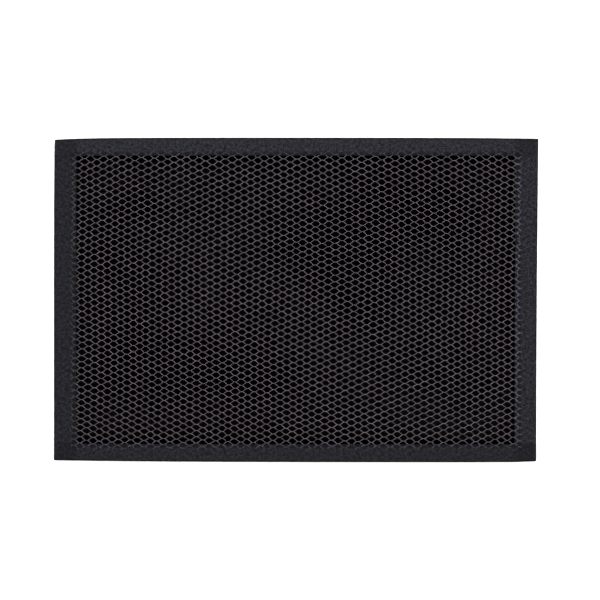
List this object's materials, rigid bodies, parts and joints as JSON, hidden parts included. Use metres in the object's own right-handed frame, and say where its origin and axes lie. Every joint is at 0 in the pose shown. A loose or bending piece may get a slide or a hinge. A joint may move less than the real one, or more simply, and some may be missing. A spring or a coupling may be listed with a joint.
{
  "type": "honeycomb grid",
  "caption": "Flat rectangular grid of open hexagonal foil cells, its edges bound in folded cloth tape, placed in front of a studio light to narrow its beam.",
  "frame": {"origin": "on the surface that the panel lies on, under the centre of its outline", "axes": "+X along the foil ribbons and the long edges, +Y across the ribbons towards the top edge, +Z out of the front face, which faces the subject"},
  "size_m": [0.44, 0.295, 0.0139],
  "materials": {
    "foil": "matt black coating, with bare metal on the cut edges",
    "tape": "matt black woven cloth tape"
  },
  "bodies": {
    "root": {"foil_ribbon_01": "foil", "foil_ribbon_02": "foil", "foil_ribbon_03": "foil", "foil_ribbon_04": "foil", "foil_ribbon_05": "foil", "foil_ribbon_06": "foil", "foil_ribbon_07": "foil", "foil_ribbon_08": "foil", "foil_ribbon_09": "foil", "foil_ribbon_10": "foil", "foil_ribbon_11": "foil", "foil_ribbon_12": "foil", "foil_ribbon_13": "foil", "foil_ribbon_14": "foil", "foil_ribbon_15": "foil", "foil_ribbon_16": "foil", "foil_ribbon_17": "foil", "foil_ribbon_18": "foil", "foil_ribbon_19": "foil", "foil_ribbon_20": "foil", "foil_ribbon_21": "foil", "foil_ribbon_22": "foil", "foil_ribbon_23": "foil", "foil_ribbon_24": "foil", "foil_ribbon_25": "foil", "foil_ribbon_26": "foil", "foil_ribbon_27": "foil", "foil_ribbon_28": "foil", "foil_ribbon_29": "foil", "foil_ribbon_30": "foil", "foil_ribbon_31": "foil", "foil_ribbon_32": "foil", "foil_ribbon_33": "foil", "foil_ribbon_34": "foil", "left_edge_tape": "tape", "right_edge_tape": "tape", "bottom_edge_tape": "tape", "top_edge_tape": "tape"}
  },
  "joints": []
}
